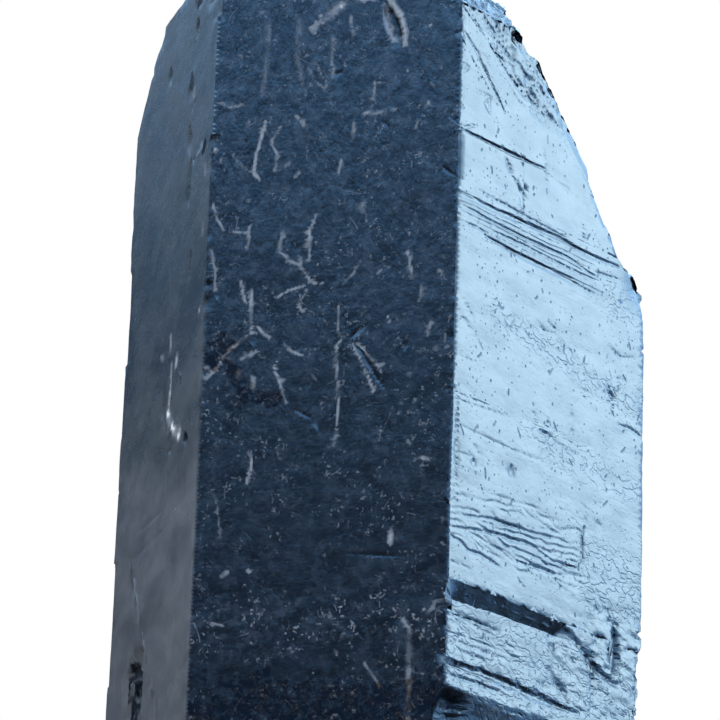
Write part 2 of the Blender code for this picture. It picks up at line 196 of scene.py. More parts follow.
# Scuffs are pale lint, scrapes and worn spots on a face: each kind's strength, width and paths as above.
SCUFFS = {
    "front": {
        "tall worn streaks": (0.15, 0.42,
            ((5.0, 49.9), (5.0, 48.5), (5.1, 47.0), (5.4, 45.3)), ((3.2, 49.9), (3.2, 48.0), (2.9, 45.0)),
        ),
        "short streaks": (0.34, 0.24,
            ((8.2, 49.9), (8.4, 48.7)), ((7.2, 48.6), (7.1, 47.6), (7.2, 46.3)), ((9.8, 45.6), (9.8, 44.4)),
            ((8.6, 43.0), (8.6, 42.0)),
        ),
        "loop": (0.30, 0.10,
            ((5.7, 46.7), (6.2, 45.8), (6.7, 45.3), (6.9, 45.6), (6.5, 46.3), (6.2, 47.0)),
        ),
        "top scar": (0.66, 0.50, ((10.4, 51.2), (10.9, 50.4), (11.35, 49.6), (11.55, 48.6), (11.6, 48.0))),
        "top scar's tan side": (0.45, 0.50, ((10.2, 50.6), (10.4, 49.6), (10.7, 48.8), (10.9, 48.3))),
        "pale rim": (0.40, 0.40, ((8.8, 51.0), (9.5, 51.1))),
        "bubbles": (0.95, 0.30,
            ((6.1, 49.0),), ((5.8, 49.4),), ((6.1, 49.7),), ((6.5, 49.7),), ((6.3, 50.1),), ((6.7, 49.9),),
        ),
        "large bubbles": (0.95, 0.46, ((7.15, 50.25),), ((7.6, 50.7),)),
        "bubbles' film": (0.34, 0.80, ((5.9, 49.3), (6.7, 50.0), (7.7, 50.8))),
        "bones": (0.62, 0.20,
            ((3.2, 43.4), (3.1, 42.6), (2.7, 41.2), (2.6, 40.1), (2.9, 39.6)),
            ((2.8, 32.5), (2.8, 31.0), (2.9, 30.0)), ((3.3, 30.1), (3.5, 29.8), (4.0, 29.4)),
            ((5.1, 28.7), (5.6, 28.4), (6.0, 28.2)),
        ),
        "scrapes": (0.42, 0.17,
            ((4.1, 42.9), (3.6, 42.1), (4.0, 41.2), (3.9, 40.1)), ((0.5, 44.7), (1.0, 44.4), (1.8, 44.5)),
            ((9.3, 43.6), (10.2, 43.5), (10.6, 43.7), (11.1, 43.7)), ((12.5, 42.9), (12.4, 42.5)),
            ((7.9, 40.6), (7.8, 39.8)), ((5.4, 39.9), (5.1, 39.6)), ((1.3, 36.3), (2.4, 36.2)),
            ((2.5, 36.6), (2.5, 35.6), (2.4, 35.0)), ((0.2, 35.2), (0.5, 34.0), (0.6, 32.6)),
            ((4.5, 36.0), (4.4, 34.8), (4.9, 34.4), (5.7, 33.9)),
            ((12.1, 34.4), (12.3, 33.6), (12.4, 32.8)), ((2.4, 28.2), (3.3, 28.6)),
            ((13.6, 30.0), (13.5, 29.5)), ((10.3, 9.3), (11.2, 8.0)), ((1.3, 11.9), (2.0, 11.8)),
        ),
        "lint": (0.60, 0.09,
            ((6.6, 37.2), (6.2, 36.2), (6.2, 35.1), (6.2, 34.2)),
            ((5.7, 34.5), (5.7, 33.8), (6.0, 33.4), (6.4, 32.8), (7.0, 32.7)),
            ((6.2, 32.3), (5.6, 31.4), (5.9, 31.0)), ((6.0, 32.6), (5.0, 32.3), (4.3, 31.9)),
            ((2.1, 33.1), (2.5, 31.7)), ((2.9, 29.8), (2.1, 29.2), (1.3, 28.4), (0.9, 27.5), (0.3, 27.0)),
            ((4.6, 28.0), (4.3, 27.6), (4.7, 26.5), (5.1, 25.4)),
            ((9.0, 28.9), (9.3, 28.2), (9.9, 26.9), (10.3, 25.8)), ((9.3, 28.8), (9.9, 28.1), (10.6, 27.3)),
            ((0.2, 38.0), (0.5, 37.2), (0.9, 36.4)), ((3.2, 22.2), (3.2, 21.3), (3.0, 20.4)),
            ((13.7, 11.1), (13.5, 10.7)),
        ),
        "faint lint": (0.34, 0.08,
            ((13.5, 29.8), (13.4, 29.1)), ((14.4, 29.2), (14.6, 28.4)), ((6.7, 27.0), (6.9, 26.6)),
            ((1.3, 41.1), (2.4, 40.1)), ((9.3, 34.1), (8.9, 33.2), (8.3, 32.6)), ((4.7, 22.6), (4.9, 21.9)),
            ((1.2, 19.7), (1.4, 18.4), (1.6, 17.2)), ((12.9, 32.3), (12.9, 31.3)),
            ((14.1, 33.2), (14.4, 32.6)),
        ),
        "long fibre": (0.52, 0.10,
            ((8.1, 31.2), (8.1, 29.8), (8.4, 29.1), (8.1, 28.8), (8.1, 27.0), (8.3, 25.0), (8.1, 22.5)),
        ),
        "low fibre": (0.34, 0.34, ((12.5, 11.9), (12.8, 11.2), (12.9, 9.0), (12.9, 5.0))),
        "stick by the chip": (0.50, 0.16, ((14.0, 12.3), (14.9, 13.8))),
        "worn spots": (0.42, 0.42,
            ((5.1, 43.6), (5.6, 43.0)), ((1.4, 47.8),), ((14.6, 17.8),), ((12.4, 20.1),), ((12.4, 26.8),),
            ((12.0, 25.0),), ((14.0, 28.3),), ((2.2, 27.3),), ((3.1, 27.0), (3.1, 26.3)), ((11.8, 24.4),),
            ((4.7, 40.5),), ((9.2, 37.6), (9.3, 37.2)), ((8.2, 12.2),),
        ),
        "bright spots": (0.70, 0.34,
            ((0.2, 41.7),), ((2.4, 35.2),), ((0.9, 27.5),), ((0.2, 27.8),), ((12.1, 34.4),),
            ((13.3, 21.5), (13.7, 21.4)), ((1.8, 14.8), (2.1, 15.0)), ((11.6, 17.1), (11.6, 16.5)),
        ),
        "bright specks": (0.75, 0.18,
            ((9.5, 39.4),), ((1.3, 41.2),), ((11.2, 30.15),), ((13.1, 44.0),), ((11.8, 46.2),),
            ((13.1, 49.1),), ((14.85, 27.8),), ((10.8, 35.6),), ((10.4, 33.2),), ((11.1, 30.4),),
            ((3.4, 15.0),), ((10.8, 23.3),), ((8.7, 9.9),), ((9.7, 7.6),), ((0.1, 8.1),), ((3.7, 10.7),),
            ((7.4, 8.8),), ((13.7, 8.6),),
        ),
    },
    "left": {
        "pale spots": (0.42, 0.70,
            ((13.2, 47.6), (13.0, 46.9)), ((13.3, 46.4),), ((16.3, 41.3), (16.4, 40.6)),
            ((16.5, 37.4), (16.4, 36.8)), ((8.6, 31.6), (9.2, 31.3)),
        ),
        "bright spots": (0.75, 0.60, ((16.5, 31.8),), ((13.1, 47.1),)),
        "scar's stem": (0.66, 0.80,
            ((10.5, 32.2), (10.6, 31.5)), ((11.0, 30.2), (11.0, 28.9), (10.9, 27.7)),
        ),
        "scar's top": (0.75, 1.0, ((12.1, 30.5), (12.0, 29.9))),
        "scar's head": (1.00, 1.60, ((10.7, 27.2), (11.2, 26.5), (12.2, 25.7), (13.4, 25.0))),
        "in the notch": (0.60, 0.16,
            ((6.2, 12.5), (7.0, 12.2)), ((5.0, 12.0), (5.6, 12.4)), ((7.1, 13.2), (7.3, 12.6)),
        ),
    },
}

# Grime and painted shade: near-black and brown colour in hollows, cracks and along ledges, which also dulls
# their reflection. Part is dirt, part is painted shade where they face down: its width, and its paths as
# above.
GRIME_AND_SHADE = {
    "right": {
        # On the bright face these three are painted shade: near-black along and under the broken layers,
        # whose edges face down.
        "along the ledge": (0.50, ((4.4, 13.7), (8.0, 13.9), (9.6, 14.0))),
        "under the lowest layer": (1.50, ((-0.2, 7.4), (3.0, 7.3), (6.0, 7.1), (9.0, 6.9))),
        "in the broken layer": (0.70,
            ((9.4, 12.9), (9.6, 12.3)), ((12.8, 12.9), (12.8, 12.0)), ((13.4, 12.0), (15.3, 11.7)),
        ),
    },
    "front": {
        "in the top scar": (0.62, ((10.2, 50.6), (10.4, 49.6), (10.7, 48.8), (11.0, 48.0))),
        "dark patch": (1.70,
            ((0.7, 29.6), (1.7, 28.9)), ((0.5, 28.3), (1.8, 27.3), (2.6, 26.5)), ((2.6, 25.8), (4.4, 25.6)),
        ),
        # painted shadow beside the chip at the foot
        "beside the chip": (0.90, ((14.9, 13.6), (14.6, 12.7))),
        "brown spots": (0.50, ((9.0, 38.9),), ((9.1, 37.6),)),
    },
    "left": {
        "scar's tip": (1.10, ((14.6, 24.4), (15.4, 23.9))),
        "in the notch": (3.0, ((5.4, 12.0), (5.8, 10.6), (6.0, 6.0))),
    },
}

# Where a face is worked all over, its triangles are this small. A row is the face, from and to across,
# from and to up, and the size.
WORKED = (
    ("right", -0.5, 16.5, 35.2, 38.9, 0.15),
    ("right", -0.5, 9.5, 43.8, 52.0, 0.18),
    ("right", -0.5, 12.8, 16.2, 21.4, 0.095),
    ("right", 12.8, 18.0, 15.8, 21.8, 0.20),
    ("right", -0.5, 18.0, 11.6, 15.8, 0.17),
    ("right", -0.5, 18.0, 4.0, 11.6, 0.22),
    ("left", 3.5, 9.5, 5.0, 14.5, 0.34),
)
PLAIN_SIZE = {"front": 0.55, "right": 0.30, "left": 0.60}  # of the triangles on a face's plain stretches
BACK_SIZE = 0.90
SLOPE_SIZE = 0.80
SEEN_SLOPE_SIZE = 0.22
BASE_SIZE = 2.5
EDGE_SIZE = 0.17
EDGE_REACH = 0.22
STROKE_SIZE = 0.11
SCUFF_SIZE = 0.13
LONGEST_SHARE = 1.55  # an edge is halved when it is this many times its wanted length
REFINING_ROUNDS = 90
MOST_TRIANGLES = 260_000  # a stop, which the sizes above never reach
KEY_STEP = 10_000_000  # more than there are points, so that each pair of them has its own key
LEVEL_SHARE = 0.5  # level runs of an edge count this much on the bright face, whose layers mostly run level


def distance_to_path(across, up, places):
    """From each point to a path of straight runs, with how far along it the nearest place is, from 0 to 1."""
    if len(places) == 1:
        return np.hypot(across - places[0][0], up - places[0][1]), np.full(len(across), 0.5)
    nearest = np.full(len(across), 1e9)
    travelled = np.zeros(len(across))
    runs = list(zip(places[:-1], places[1:]))
    total = sum(math.dist(a, b) for a, b in runs)
    passed = 0.0
    for (ax, ay), (bx, by) in runs:
        length = math.dist((ax, ay), (bx, by))
        t = np.clip(((across - ax) * (bx - ax) + (up - ay) * (by - ay)) / length**2, 0, 1)
        gap = np.hypot(across - ax - t * (bx - ax), up - ay - t * (by - ay))
        closer = gap < nearest
        nearest = np.where(closer, gap, nearest)
        travelled = np.where(closer, (passed + t * length) / total, travelled)
        passed += length
    return nearest, travelled


def wanted_size(points):
    """How long a triangle's edge may be at each point."""
    under = depths_under_planes(points)
    plane = under[:, :12].argmin(1)
    size = np.where(plane < 6, BACK_SIZE, SLOPE_SIZE)
    right_across, right_up = across_and_up(points, RIGHT)
    seen = (plane >= 6) & (right_across > -1) & (right_up < 53.5) & (under[:, RIGHT] < 1.6)
    size = np.where(seen, SEEN_SLOPE_SIZE, size)
    for index, face in enumerate(FACES):
        mine = plane == index
        across, up = across_and_up(points[mine], index)
        local = np.full(mine.sum(), PLAIN_SIZE.get(face, BACK_SIZE))
        for worked, across_from, across_to, up_from, up_to, fine in WORKED:
            if worked == face:
                inside = (across > across_from) & (across < across_to) & (up > up_from) & (up < up_to)
                local = np.where(inside, np.minimum(local, fine), local)
        for width, _, *paths in STROKES.get(face, {}).values():
            for places in paths:
                gap, _ = distance_to_path(across, up, places)
                fine = min(max(STROKE_SIZE, width * 0.4), 0.18) + 1.0 * np.maximum(gap - width / 2 - 0.04, 0)
                local = np.minimum(local, fine)
        for _, width, *paths in SCUFFS.get(face, {}).values():
            for places in paths:
                gap, _ = distance_to_path(across, up, places)
                fine = min(max(SCUFF_SIZE, width * 0.45), 0.20) + 1.0 * np.maximum(gap - width / 2 - 0.03, 0)
                local = np.minimum(local, fine)
        size[mine] = local
    for first, second in ((LEFT, FRONT), (FRONT, RIGHT)):
        at_edge = (np.abs(under[:, first]) < EDGE_REACH) & (np.abs(under[:, second]) < EDGE_REACH)
        size[at_edge] = np.minimum(size[at_edge], EDGE_SIZE)
    size[(under[:, BASE] < 0.01) & (under[:, :6].min(1) > 0.6)] = BASE_SIZE
    size[points[:, 2] < 4.0] = np.maximum(size[points[:, 2] < 4.0], 0.4)
    size[under.min(1) > 1.2] = BACK_SIZE
    return size


def refine(bm):
    """Halves edges that are longer than their place allows. Only an edge that is the longest of both its
    triangles is halved, with the longest of their neighbours in turn, so no sliver appears."""
    known_keys, known_limits = np.array([-1]), np.array([0.0])
    for _ in range(REFINING_ROUNDS):
        bm.verts.index_update()
        bm.edges.index_update()
        places = np.array([v.co for v in bm.verts])
        pairs = np.sort([(e.verts[0].index, e.verts[1].index) for e in bm.edges], axis=1)
        middles = (places[pairs[:, 0]] + places[pairs[:, 1]]) / 2
        run = places[pairs[:, 0]] - places[pairs[:, 1]]
        layered = (depths_under_planes(middles)[:, :12].argmin(1) == RIGHT) & (middles[:, 2] < 43.0)
        lengths = np.hypot(np.hypot(run[:, 0], run[:, 1]) * np.where(layered, LEVEL_SHARE, 1.0), run[:, 2])
        lengths += 1e-9 * np.arange(len(lengths))
        keys = pairs[:, 0] * KEY_STEP + pairs[:, 1]
        at = np.minimum(np.searchsorted(known_keys, keys), len(known_keys) - 1)
        limits = known_limits[at]
        fresh = known_keys[at] != keys
        limits[fresh] = wanted_size(middles[fresh])
        order = keys.argsort()
        known_keys, known_limits = keys[order], limits[order]
        chosen = lengths > limits * LONGEST_SHARE
        if not chosen.any() or len(bm.faces) > MOST_TRIANGLES:
            break
        sides = np.array([[e.index for e in f.edges] for f in bm.faces])
        longest = sides[np.arange(len(sides)), lengths[sides].argmax(1)]
        grew = True
        while grew:
            before = chosen.sum()
            chosen[longest[chosen[sides].any(1)]] = True
            grew = chosen.sum() > before
        chosen &= np.bincount(longest, minlength=len(lengths)) == 2
        bm.edges.ensure_lookup_table()
        long_edges = [bm.edges[i] for i in np.nonzero(chosen)[0]]
        cut = bmesh.ops.bisect_edges(bm, edges=long_edges, cuts=1)["geom_split"]
        halfway = {v for v in cut if isinstance(v, bmesh.types.BMVert)}
        for face in [f for f in bm.faces if len(f.verts) == 4]:
            corner = [v in halfway for v in face.verts].index(True)
            bmesh.utils.face_split(face, face.verts[corner], face.verts[corner - 2])


body = bmesh.new()
body.from_mesh(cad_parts[NODE].data)
bmesh.ops.scale(body, vec=(1 / MM,) * 3, verts=body.verts[:])
bmesh.ops.remove_doubles(body, verts=body.verts[:], dist=2e-4)
bmesh.ops.dissolve_limit(body, angle_limit=math.radians(0.2), verts=body.verts[:], edges=body.edges[:])
bmesh.ops.triangulate(body, faces=body.faces[:], quad_method="SHORT_EDGE", ngon_method="BEAUTY")
refine(body)

# The growth relief. Layers, ridges, pits and nicked edges are a few hundredths of a millimetre deep, and each
# point of the body is moved in or out until it lies as deep as its own faces ask there.


def lattice_noise(seed, x, y=0.0, z=0.0):
    """Smooth random values between -1 and 1 that change over about one unit of length."""
    x, y, z = np.broadcast_arrays(np.asarray(x, float), y, z)
    total = np.zeros(x.shape)
    corner = [np.floor(c).astype(np.int64) for c in (x, y, z)]
    part = [c - f for c, f in zip((x, y, z), corner)]
    ease = [p * p * p * (p * (p * 6 - 15) + 10) for p in part]
    for step in range(8):
        steps = [(step >> k) & 1 for k in range(3)]
        cell = [c + s for c, s in zip(corner, steps)]
        mixed = (cell[0] * 73856093) ^ (cell[1] * 19349663) ^ (cell[2] * 83492791) ^ (seed * 2654435761)
        mixed = (mixed ^ (mixed >> 13)) * 1274126177 & 0x7FFFFFFF
        mixed = (mixed ^ (mixed >> 16)) & 0xFFFF
        weight = np.ones(x.shape)
        for e, s in zip(ease, steps):
            weight = weight * (e if s else 1 - e)
        total += weight * (mixed / 32767.5 - 1)
    return total


def layered_noise(seed, x, y=0.0, z=0.0, layers=3):
    total = 0.0
    for layer in range(layers):
        finer = 2**layer
        total = total + lattice_noise(seed + layer, x * finer, y * finer, z * finer) / (2 * finer)
    return total


def smooth(value, low, high):
    t = np.clip((value - low) / (high - low), 0, 1)
    return t * t * (3 - 2 * t)


def window(value, low, high, edge):
    return smooth(value, low - edge, low + edge) * (1 - smooth(value, high - edge, high + edge))


def fine_lines(rows, half_width):
    """A V-shaped line in the middle of each row, 1 at its bottom."""
    return np.clip(1 - np.abs(rows % 1.0 - 0.5) / half_width, 0, 1)


def treads(height, rounding=0.75):
    """A stair: level for most of each unit of height, then one quick rise."""
    whole = np.floor(height)
    return whole + smooth(height - whole, rounding, 1.0)


def stroke_depth(face, across, up):
    depth = np.zeros(len(across))
    wobble = 0.05 * layered_noise(5, across * 2.2, up * 2.2)
    ragged = 1.15 + 0.7 * layered_noise(6, across * 1.8, up * 1.8)
    for width, deep, *paths in STROKES.get(face, {}).values():
        for places in paths:
            gap, travelled = distance_to_path(across + wobble, up + wobble, places)
            taper = 0.5 + 0.5 * np.sin(np.pi * np.clip(travelled * 0.9 + 0.05, 0, 1))
            hollow = np.clip(1 - (gap / (width / 2 * taper * ragged)) ** 2, 0, 1) ** 1.5
            depth = np.maximum(depth, deep * taper * hollow)
    return depth


def scuff_strength(face, across, up):
    strength = np.zeros(len(across))
    ragged_across = 0.08 * layered_noise(15, across * 2.4, up * 2.4)
    ragged_up = 0.08 * layered_noise(16, across * 2.4, up * 2.4)
    frayed = 0.62 + 0.75 * layered_noise(17, across * 2.4, up * 2.4)
    worn = 0.35 + 0.65 * smooth(layered_noise(18, across * 1.5, up * 1.5), -0.35, 0.30)
    for strong, width, *paths in SCUFFS.get(face, {}).values():
        for places in paths:
            gap, _ = distance_to_path(across + ragged_across, up + ragged_up, places)
            reach = np.maximum(width / 2 * frayed, 0.02)
            strength = np.maximum(strength, strong * worn * (1 - smooth(gap, reach * 0.2, reach + 0.06)))
    return strength


def grime_and_shade_strength(face, across, up):
    strength = np.zeros(len(across))
    ragged = 0.16 * layered_noise(25, across * 1.8, up * 1.8)
    for width, *paths in GRIME_AND_SHADE.get(face, {}).values():
        for places in paths:
            gap, _ = distance_to_path(across + ragged, up + ragged, places)
            strength = np.maximum(strength, 0.78 * (1 - smooth(gap, width / 2 - 0.45, width / 2 + 0.25)))
    return strength


def hatched(across, up):
    """A bunch of thin layers whose edges run level, fray, and fan out lower down."""
    lean = np.where(up > 18.2, -0.11, 0.03) * across
    fray = 0.30 * layered_noise(21, across * 0.5, up * 0.8) + 0.10 * layered_noise(22, across * 1.6, up * 3.2)
    rows = (up + lean + fray) / 0.40
    whole = np.floor(rows)
    present = smooth(lattice_noise(23, across * 0.55, whole * 3.7), -0.35, 0.25)
    broad = 0.27 + 0.15 * lattice_noise(24, across * 0.8, whole * 5.1)
    lines = fine_lines(rows, broad) * present
    second = fine_lines((up + 0.2 * across + 1.5 * fray) / 0.55 + 0.4, 0.16)
    crossing = second * smooth(lattice_noise(26, across * 0.7, up * 1.1), 0.0, 0.4)
    top = 19.9 + 0.11 * across + 0.4 * lattice_noise(27, across * 0.7)
    foot = 16.9 - 0.05 * across + 0.5 * lattice_noise(28, across * 0.6)
    area = (1 - smooth(up, top - 0.5, top + 0.3)) * smooth(up, foot - 0.3, foot + 0.4)
    area = area * (1 - smooth(across, 10.5, 13.0))
    heart = np.exp(-(((across - 5.5) / 3.2) ** 2) - ((up - 18.3) / 1.2) ** 2)
    return area * (0.5 + 0.6 * heart) * (0.075 * lines + 0.050 * crossing)


def curled(across, up):
    """Ridges that run down across the upper corner, crowded and deeper towards the point's slope."""
    winding = 0.42 * layered_noise(31, across * 0.5, up * 0.6)
    winding = winding + 0.12 * layered_noise(32, across * 2.0, up * 2.4)
    rows = (up + 0.50 * across + winding) / 0.44
    whole = np.floor(rows)
    broken = smooth(lattice_noise(33, across * 0.9, whole * 2.3), -0.75, 0.05)
    half_gap = 0.40 + 0.08 * lattice_noise(34, across, whole * 1.7)
    gaps = np.clip(1 - np.abs(rows % 1.0 - 0.5) / half_gap, 0, 1)
    edge_line = 53.6 - 0.93 * across
    inside = smooth(up, edge_line - 5.6, edge_line - 3.0)
    deeper = 0.045 + 0.080 * smooth(up, edge_line - 3.6, edge_line - 1.2)
    crumpled = 0.16 * np.abs(layered_noise(37, across * 0.9, up * 0.9))
    crumpled = crumpled * smooth(up, edge_line - 2.6, edge_line - 1.2)
    return inside * smooth(up, 44.6, 46.2) * (gaps * broken * deeper + crumpled)


def ledges(across, up):
    """Where the top layer has broken away, its edge leans in and faces down, so it mirrors nothing bright."""
    ragged = 0.05 * layered_noise(81, across * 1.5, up * 0.6)
    below = (14.36 + ragged - up) / (1.22 - 0.02 * np.clip(across, 0, 10))
    broken = lattice_noise(82, across * 1.3) > -0.25
    step = np.where((below > 0.44) & (below < 0.50) & broken, 0.44, below)
    band = np.where((below > 0) & (below < 1), 0.60 * step, 0.0) + np.where(below >= 1, 0.06, 0.0)
    near_edge = 0.30 + 0.70 * smooth(across, 0.0, 0.8)
    main = near_edge * band * (1 - smooth(across + 3 * ragged, 10.0, 11.4)) * smooth(up, 7.9, 8.4)
    under_foot = 0.62 * np.clip((8.0 + 4 * ragged + 0.02 * across - up) / 1.9, 0, 1)
    return main + under_foot


def right_relief(across, up):
    """The brightest face: broken layers, a bunch of steps, a curled upper corner and a rough foot."""
    depth = 0.03 + 0.022 * layered_noise(11, across * 0.22, up * 0.35)
    stair = up * 0.55 + 1.0 * layered_noise(41, across * 0.3, up * 0.7)
    stair = stair + 0.2 * layered_noise(42, across * 1.6, up * 2.0)
    stepped = smooth(layered_noise(43, across * 0.4, up * 0.5), -0.3, 0.2)
    depth += 0.018 * (treads(stair, 0.9) - stair) * stepped
    depth += hatched(across, up) + curled(across, up) + ledges(across, up)
    bundle = window(up, 35.7, 38.4, 0.25) * (1 - smooth(across, 12.5, 15.0))
    depth += 0.022 * bundle * fine_lines((up + 0.05 * lattice_noise(45, across * 0.6, up)) / 0.31, 0.3)
    mottle = np.exp(-(((up - 33.2 + 0.16 * across + 0.4 * lattice_noise(46, across * 0.6)) / 0.75) ** 2))
    patches = smooth(layered_noise(47, across * 1.7, up * 2.2), 0.0, 0.25)
    depth += 0.03 * mottle * patches * smooth(across, 1.0, 3.0)
    rough = 1 - smooth(up + 0.5 * lattice_noise(48, across * 0.8), 10.5, 14.0)
    corner = window(across, 12.2, 19.0, 0.8) * window(up, 9.0, 16.4, 0.8)
    scales = smooth(layered_noise(51, across * 0.8, up * 2.4), 0.05, 0.45)
    shreds = smooth(layered_noise(55, across * 1.5, up * 4.6), 0.10, 0.45)
    level = fine_lines(up / 0.42 + 0.25 * layered_noise(57, across * 0.7, up), 0.3)
    level = level * (1 - smooth(across, 5.0, 8.0))
    heavier = 0.55 + 0.7 * smooth(across, 6.0, 12.0)
    depth += np.maximum(rough, corner) * heavier * (0.045 * scales + 0.040 * shreds)
    return depth + 0.022 * rough * level


def front_relief(across, up):
    """The dark face, almost smooth, with faint dents, and bumpy at its foot."""
    depth = 0.03 + 0.020 * layered_noise(61, across * 0.25, up * 0.2)
    rough = 1 - smooth(up, 6.5, 11.5)
    return depth + rough * 0.05 * np.abs(layered_noise(62, across * 0.9, up * 1.4))


def left_relief(across, up):
    """A satiny face with soft upright dents and one ragged notch low down."""
    depth = 0.03 + 0.05 * layered_noise(71, across * 0.25, up * 0.12)
    depth = depth + 0.02 * layered_noise(75, across * 0.6, up * 0.5)
    ragged = 0.5 * layered_noise(77, across * 1.1, up * 0.8)
    bowed = up + 0.25 * (across - 6.4) ** 2 + ragged
    notch = window(across + 0.6 * ragged, 3.9, 7.8, 0.20) * (1 - smooth(bowed, 13.2, 13.9))
    return depth + notch * (0.34 + 0.40 * layered_noise(78, across * 1.5, up * 1.2))


def hidden_relief(seed, across, up):
    """The faces round the back: level striations in bunches, with bare stretches between them."""
    bend = 0.5 * layered_noise(seed, across * 0.3, up * 0.5)
    bend = bend + 0.06 * lattice_noise(seed + 1, across * 2, up * 2)
    fine = np.abs((((up + bend) / 0.7) % 1.0) - 0.5) * 2
    bunches = smooth(layered_noise(seed + 2, across * 0.12, up * 0.22), 0.0, 0.25)
    stair = (up + 1.5 * bend) / 3.1
    return 0.02 + 0.05 * bunches * fine + 0.05 * (treads(stair, 0.85) - stair + 1)


def slope_relief(seed, across, up):
    """The point's slopes: low steps that follow the slope's foot, and shallow growth hills."""
    bend = 0.8 * layered_noise(seed, across * 0.25, up * 0.25)
    bend = bend + 0.08 * lattice_noise(seed + 1, across * 2, up * 2)
    stair = (up + bend) / 1.9
    hills = np.abs(layered_noise(seed + 2, across * 0.5, up * 0.5))
    return 0.02 + 0.10 * np.abs(treads(stair, 0.7) - stair) + 0.08 * hills


def seen_slope_relief(across, up):
    """The slopes beside the bright face's upper corner break into ridges as that corner does."""
    winding = 0.6 * layered_noise(35, across * 0.8, up * 0.8)
    winding = winding + 0.15 * layered_noise(36, across * 2.4, up * 2.4)
    rows = (up + 0.9 * across + winding) / 0.62
    near = window(up, 47.5, 52.8, 1.0)
    return 0.18 * near * (1 - np.abs(rows % 1.0 - 0.5) * 2)


def face_relief(plane, across, up):
    face = FACES[plane % 6]
    if plane >= 6:
        return slope_relief(200 + 7 * plane, across, up)
    relief = {"right": right_relief, "front": front_relief, "left": left_relief}.get(face)
    depth = relief(across, up) if relief else hidden_relief(100 + 7 * plane, across, up)
    return depth + stroke_depth(face, across, up) - PROUD


def kept_depth(plane, under, up):
    """The solid's own depth that a face keeps. The worked faces drop it, except in their edges' chips."""
    own = under[:, plane]
    if plane == 6 + RIGHT:
        return np.where((own < 0.8) & (under[:, RIGHT] < 1.6), 0.0, own)
    if plane == FRONT:
        return np.where((own < 0.8) & (up > 40), 0.25 * own, own)
    if plane not in (RIGHT, LEFT):
        return own
    chipped = (under[:, FRONT] > 0.01) & (under[:, FRONT] < 1.6) & (up < 12.6)
    flat = (own < 0.8) & (up > 4.0) & ((under[:, 6:12].min(1) > 1.3) | (plane == RIGHT))
    return np.where(flat, np.where(chipped, own * smooth(own, 0.22, 0.42), 0.0), own)


def nicks(points, under):
    """Extra depth beside a sharp edge, in short nicks."""
    beside = 1 - smooth(np.sort(under[:, :12], axis=1)[:, 1], 0.02, 0.28)
    small = np.abs(layered_noise(301, *(points * 1.6).T))
    chips = smooth(layered_noise(305, *(points * 0.55).T), 0.18, 0.4)
    at_rim = (under[:, 6 + BACK_RIGHT] < 0.6) & (under[:, [RIGHT, 6 + RIGHT]].min(1) < 1.0)
    calmer = np.where(at_rim, 0.25, 1.0)
    return calmer * beside * (0.07 * small + 0.12 * chips * small)


def softened_rim(under):
    """The bright face leans back in a narrow band beside the slope that cuts its upper right end."""
    gap = under[:, 6 + BACK_RIGHT]
    return 0.14 * np.clip(1 - gap / 0.75, 0, 1)


def worn_corner(points):
    """The blunt corner where the bright face, the face behind it and the point's slope meet."""
    gap = np.linalg.norm(points - SLOPE_FEET[BACK_RIGHT], axis=1)
    return 0.34 * np.exp(-((gap / 1.6) ** 2))


mesh = bpy.data.meshes.new("crystal_body")
body.to_mesh(mesh)
body.free()
count = len(mesh.vertices)
points = np.empty(count * 3)
mesh.vertices.foreach_get("co", points)
points = points.reshape(-1, 3)
corners = np.empty(len(mesh.loops), np.int32)
mesh.loops.foreach_get("vertex_index", corners)
triangles = corners.reshape(-1, 3)

under = depths_under_planes(points)
sides = points[triangles]
facing = np.cross(sides[:, 1] - sides[:, 0], sides[:, 2] - sides[:, 0])
facing = facing / (np.linalg.norm(facing, axis=1, keepdims=True) + 1e-12) @ PLANE_OUT.T
covered = depths_under_planes(sides.mean(1))
owner = (covered + 1 - facing)[:, :12].argmin(1)
owner = np.where((owner == FRONT) & (facing[:, FRONT] < 0.7) & (covered[:, RIGHT] < 0.8), RIGHT, owner)
owner = np.where(covered[:, BASE] < 0.005, BASE, owner)
belongs = np.zeros((13, count), bool)
for corner in range(3):
    belongs[owner, triangles[:, corner]] = True

depth = np.zeros((13, count))
for plane in range(12):
    mine = belongs[plane]
    across, up = across_and_up(points[mine], plane)
    wanted = kept_depth(plane, under[mine], up) + face_relief(plane, across, up) + worn_corner(points[mine])
    wanted += nicks(points[mine], under[mine])
    if plane == RIGHT:
        wanted += softened_rim(under[mine])
    if plane == 6 + RIGHT:
        seen_across, seen_up = across_and_up(points[mine], RIGHT)
        close = (under[mine, RIGHT] < 1.6) & (seen_across > -1)
        stands_out = SEEN_SLOPE_PROUD * (smooth(seen_up, 38.6, 42.0) + 0.8 * smooth(seen_up, 50.4, 52.4))
        broken = seen_slope_relief(seen_across, seen_up) - stands_out
        wanted += np.where(close, broken, 0)
    depth[plane, mine] = wanted - under[mine, plane]

moved = points.copy()
how_many = belongs.sum(0)
for plane in range(13):
    alone = belongs[plane] & (how_many == 1)
    moved[alone] -= depth[plane, alone][:, None] * PLANE_OUT[plane]
for index in np.nonzero(how_many > 1)[0]:
    planes = np.nonzero(belongs[:, index])[0]
    moved[index] -= np.linalg.lstsq(PLANE_OUT[planes], depth[planes, index], rcond=None)[0]
slopes_under = under[:, [6 + RIGHT, 6 + BACK_RIGHT]].min(1)
broken_rim = smooth(np.minimum(under[:, RIGHT], slopes_under), 0.03, 0.25) * smooth(points[:, 2], 34.0, 36.0)
broken_rim *= (1 - smooth(under[:, RIGHT], 1.0, 1.5)) * (1 - smooth(slopes_under, 0.7, 1.1))
moved += broken_rim[:, None] * (points - moved)  # there the solid's own shape stays
moved[:, 2] = np.maximum(moved[:, 2], 0.0)
mesh.vertices.foreach_set("co", (moved * MM).ravel())
mesh.update()
mesh.shade_smooth()
mesh.set_sharp_from_angle(angle=math.radians(30))

crystal = bpy.data.objects.new("crystal_body", mesh)
bpy.context.scene.collection.objects.link(crystal)
